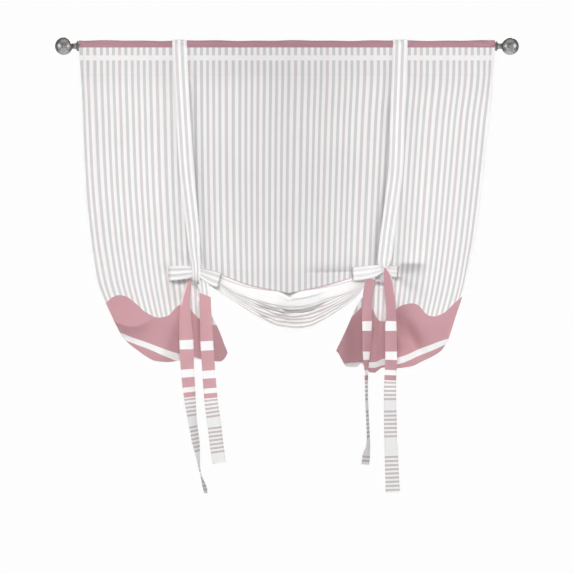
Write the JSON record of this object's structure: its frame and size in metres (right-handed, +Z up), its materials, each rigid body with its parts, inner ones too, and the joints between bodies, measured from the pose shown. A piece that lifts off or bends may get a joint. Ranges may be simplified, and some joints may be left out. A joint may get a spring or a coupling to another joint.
{
  "type": "tie-up curtain",
  "caption": "Striped tie-up curtain on a telescoping ball-finial rod, gathered into a swag between bow ties, with wave-bordered tails hanging at both lower corners.",
  "frame": {"origin": "on the rod's axis at mid-width, halfway between the two bracket seats", "axes": "+X along the rod towards the sliding tube's finial, -Y towards the room (front of the curtain), +Z up"},
  "size_m": [1.1896, 0.0796, 1.1672],
  "materials": {
    "panel_cloth": "white woven cloth with grey-pink pinstripes, dusty pink bands and border",
    "tie_cloth": "white woven cloth with pinstripes, dusty pink and white bands at the tails",
    "rod_metal": "brushed nickel plate",
    "finial_metal": "brushed nickel plate, lightly aged",
    "plug_plastic": "moulded black plastic",
    "stud_steel": "zinc plated steel"
  },
  "bodies": {
    "curtain": {"rod_outer_tube": "rod_metal", "end_plug_left": "plug_plastic", "finial_stud_left": "stud_steel", "finial_left": "finial_metal", "curtain_panel": "panel_cloth", "tie_front_left": "tie_cloth", "tie_back_left": "tie_cloth", "tie_front_right": "tie_cloth", "tie_back_right": "tie_cloth"},
    "inner_rod": {"rod_inner_tube": "rod_metal", "end_plug_right": "plug_plastic", "finial_stud_right": "stud_steel", "finial_right": "finial_metal"}
  },
  "joints": [
    {"name": "rod_extend", "type": "slide", "parent": "curtain", "child": "inner_rod", "axis": [1, 0, 0], "range_m": [0, 0.146]}
  ]
}
